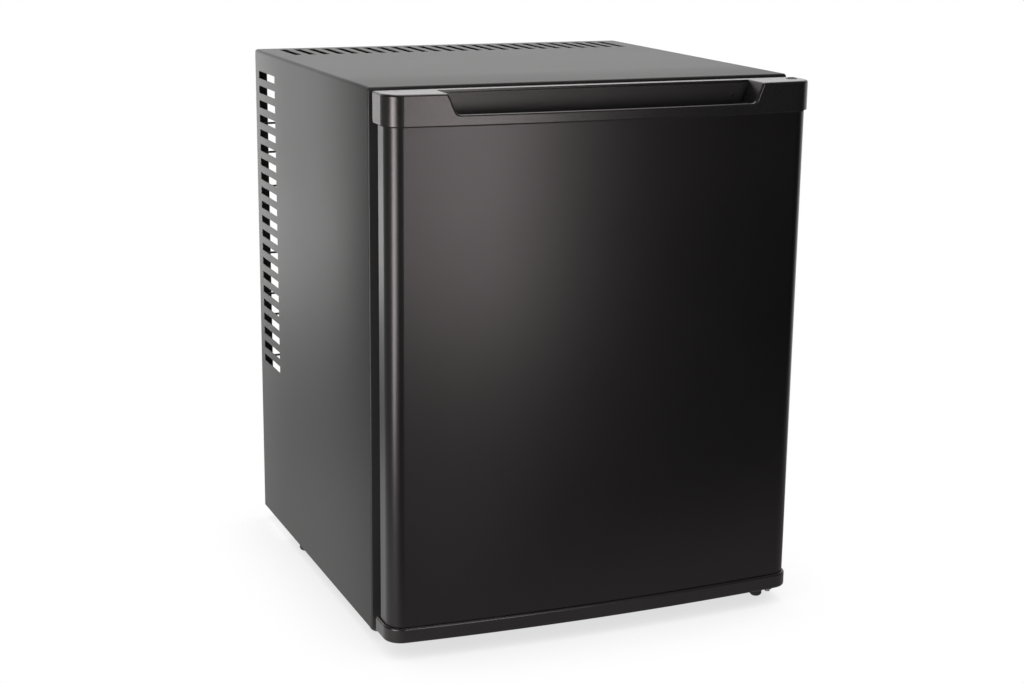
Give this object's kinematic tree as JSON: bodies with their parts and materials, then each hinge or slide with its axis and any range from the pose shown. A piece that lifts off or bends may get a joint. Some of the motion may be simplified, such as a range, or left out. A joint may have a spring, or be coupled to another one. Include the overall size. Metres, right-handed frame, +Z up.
{
  "type": "minibar fridge",
  "caption": "Black free-standing absorption minibar fridge with a bowed hinged door, a top handle recess, wire shelves, door racks and a vented casing open at the back.",
  "frame": {"origin": "on the floor, under the middle of the object's box", "axes": "+Z up, -Y towards the front (the door), +X to the right seen from the front"},
  "size_m": [0.4, 0.42, 0.495],
  "materials": {
    "casing_paint": "satin black stoved paint",
    "door_skin_paint": "satin black paint",
    "cap_plastic": "semi-gloss black moulding",
    "recess_plastic": "matt black moulding",
    "gasket_rubber": "soft black seal",
    "liner_plastic": "white vacuum-formed sheet",
    "rack_plastic": "white moulding",
    "control_plastic": "pale grey moulding",
    "lens_plastic": "frosted lens",
    "knob_plastic": "dark grey moulding",
    "shelf_wire": "white coated wire",
    "evaporator_metal": "plain aluminium",
    "foam": "rigid foam",
    "panel_zinc": "dark grey coated sheet",
    "base_zinc": "black coated sheet",
    "unit_paint": "matt black paint",
    "boiler_zinc": "zinc-coated sheet",
    "fin_paint": "matt black paint",
    "stay_wire": "black coated wire",
    "hinge_steel": "black coated steel",
    "pin_steel": "plain steel",
    "screw_steel": "zinc-coated steel",
    "foot_plastic": "black moulding",
    "box_plastic": "black moulding",
    "bush_plastic": "natural nylon"
  },
  "bodies": {
    "cabinet": {"outer_casing": "casing_paint", "base_plate": "base_zinc", "back_panel": "panel_zinc", "cabinet_foam": "foam", "inner_liner": "liner_plastic", "shelf_rails": "liner_plastic", "evaporator_fins": "evaporator_metal", "drip_tray": "rack_plastic", "control_housing": "control_plastic", "lamp_lens": "lens_plastic", "light_switch_body": "control_plastic", "rear_foot_left": "foot_plastic", "rear_foot_right": "foot_plastic", "lower_hinge_bracket": "hinge_steel", "lower_hinge_pin": "pin_steel", "hinge_nut": "hinge_steel", "upper_hinge_bracket": "hinge_steel", "boiler_casing": "boiler_zinc", "heater_cartridge": "pin_steel", "pump_tube": "unit_paint", "condenser_tube": "unit_paint", "condenser_fins": "fin_paint", "condensate_line": "unit_paint", "gas_heat_exchanger": "unit_paint", "absorber_coil": "unit_paint", "absorber_vessel": "unit_paint", "liquid_heat_exchanger": "unit_paint", "heater_conduit": "box_plastic", "unit_brackets": "boiler_zinc", "control_box": "box_plastic", "power_inlet": "box_plastic", "rear_cross_bar": "casing_paint", "rear_stay_wires": "stay_wire", "base_screws": "screw_steel", "lower_hinge_screws": "screw_steel", "upper_hinge_screws": "screw_steel", "back_panel_screws": "screw_steel", "evaporator_screws": "screw_steel", "control_box_screws": "screw_steel"},
    "door": {"door_skin": "door_skin_paint", "door_top_cap": "cap_plastic", "handle_insert": "recess_plastic", "recess_plug": "cap_plastic", "hinge_pin_cover": "cap_plastic", "upper_hinge_pin": "pin_steel", "door_bottom_cap": "cap_plastic", "lower_hinge_bush": "bush_plastic", "door_foam": "foam", "door_liner": "liner_plastic", "door_rack_lower": "rack_plastic", "door_rack_upper": "rack_plastic", "door_gasket": "gasket_rubber"},
    "thermostat_knob": {"thermostat_knob": "knob_plastic"},
    "light_switch_plunger": {"light_switch_plunger": "knob_plastic"},
    "upper_shelf": {"upper_shelf": "shelf_wire"},
    "lower_shelf": {"lower_shelf": "shelf_wire"},
    "front_foot_left": {"front_foot_left": "foot_plastic"},
    "front_foot_right": {"front_foot_right": "foot_plastic"}
  },
  "joints": [
    {"name": "door_hinge", "type": "hinge", "parent": "cabinet", "child": "door", "pos_m": [0.1905, -0.178, 0.25], "axis": [0, 0, 1], "range_deg": [0, 110]},
    {"name": "thermostat_turn", "type": "hinge", "parent": "cabinet", "child": "thermostat_knob", "pos_m": [0.1436, -0.0066, 0.408], "axis": [-1, 0, 0], "range_deg": [0, 270]},
    {"name": "plunger_slide", "type": "slide", "parent": "cabinet", "child": "light_switch_plunger", "axis": [0, -1, 0], "range_m": [0, 0.005]},
    {"name": "upper_shelf_slide", "type": "slide", "parent": "cabinet", "child": "upper_shelf", "axis": [0, -1, 0], "range_m": [0, 0.02]},
    {"name": "lower_shelf_slide", "type": "slide", "parent": "cabinet", "child": "lower_shelf", "axis": [0, -1, 0], "range_m": [0, 0.045]},
    {"name": "front_foot_left_turn", "type": "hinge", "parent": "cabinet", "child": "front_foot_left", "pos_m": [-0.184, -0.126, 0], "axis": [0, 0, 1], "range_deg": [-180, 180]},
    {"name": "front_foot_right_turn", "type": "hinge", "parent": "cabinet", "child": "front_foot_right", "pos_m": [0.18, -0.174, 0], "axis": [0, 0, 1], "range_deg": [-180, 180]}
  ],
  "couplings": [
    {"joint": "plunger_slide", "follows": "door_hinge", "m_per_rad": 0.0026}
  ]
}
